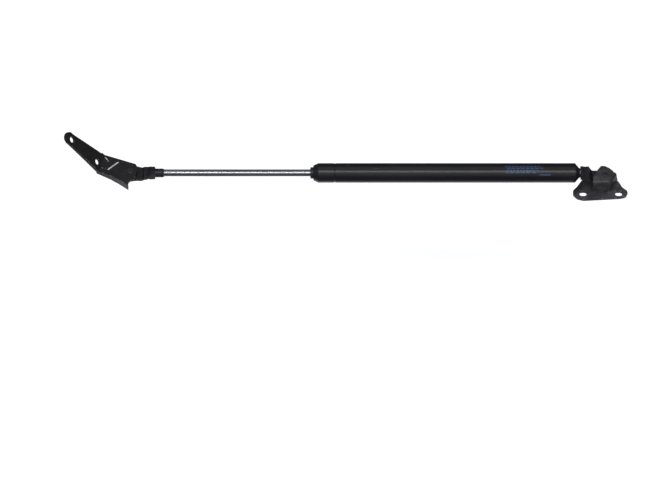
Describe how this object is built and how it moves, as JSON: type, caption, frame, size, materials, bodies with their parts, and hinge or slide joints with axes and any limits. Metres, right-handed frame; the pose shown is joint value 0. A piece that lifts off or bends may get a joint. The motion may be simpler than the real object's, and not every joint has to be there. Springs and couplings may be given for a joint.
{
  "type": "gas strut stay",
  "caption": "Gas strut stay with a chrome rod, black cylinder and a riveted pressed-steel bracket at each end.",
  "frame": {"origin": "midway between the two slots of the tube-side bracket, on the face that bolts down", "axes": "+Z off the tube-side bracket's mounting face; X along the strut, rod towards -X; Y across it"},
  "size_m": [0.6292, 0.0483, 0.0683],
  "materials": {
    "tube_paint": "satin black paint",
    "bracket_coat": "black electrocoat on pressed steel",
    "link_coat": "black electrocoat on forged steel",
    "rod_chrome": "ground and hard chrome plated",
    "zinc_steel": "dark electrocoat over peened steel",
    "seal_black": "moulded, matt black",
    "bare_steel": "machined",
    "cast_guide": "sintered and oiled",
    "bronze": "sintered bronze",
    "seal_rubber": "moulded nitrile",
    "ring_plastic": "turned plastic",
    "weld_steel": "dull weld metal"
  },
  "bodies": {
    "cylinder": {"cylinder_tube": "tube_paint", "front_seal_boss": "seal_black", "rod_seal": "seal_rubber", "seal_backup_washer": "bare_steel", "rod_guide": "cast_guide", "guide_bush": "bronze", "guide_o_ring": "seal_rubber", "end_plug": "bare_steel", "tube_weld_bead": "tube_paint", "tube_link": "link_coat", "tube_pivot_bush": "bronze"},
    "piston_ring": {"piston_seal_ring": "ring_plastic"},
    "rod": {"piston_rod": "rod_chrome", "piston": "cast_guide", "orifice_disc": "bare_steel", "piston_washer": "bare_steel", "piston_nut": "bare_steel", "stop_sleeve": "bare_steel", "rod_collar": "link_coat", "rod_weld_bead": "weld_steel", "rod_link": "link_coat", "rod_pivot_bush": "bronze"},
    "tube_mount": {"tube_bracket": "bracket_coat", "tube_rivet": "zinc_steel", "tube_pivot_washer": "zinc_steel"},
    "rod_mount": {"rod_bracket": "bracket_coat", "rod_rivet": "zinc_steel", "rod_pivot_washer": "zinc_steel"}
  },
  "joints": [
    {"name": "piston_slide", "type": "slide", "parent": "cylinder", "child": "piston_ring", "axis": [1, 0, 0], "range_m": [0, 0.16], "stiffness_N_per_m": 1500},
    {"name": "rod_spin", "type": "hinge", "parent": "piston_ring", "child": "rod", "pos_m": [-0.2, 0.016, 0.02], "axis": [1, 0, 0], "continuous": true},
    {"name": "tube_mount_pivot", "type": "hinge", "parent": "cylinder", "child": "tube_mount", "pos_m": [0.0045, 0.016, 0.0125], "axis": [0, 0, 1], "range_deg": [-3, 100]},
    {"name": "rod_mount_pivot", "type": "hinge", "parent": "rod", "child": "rod_mount", "pos_m": [-0.5275, 0.016, 0.0186], "axis": [0, 0, 1], "range_deg": [-75, 45]}
  ]
}
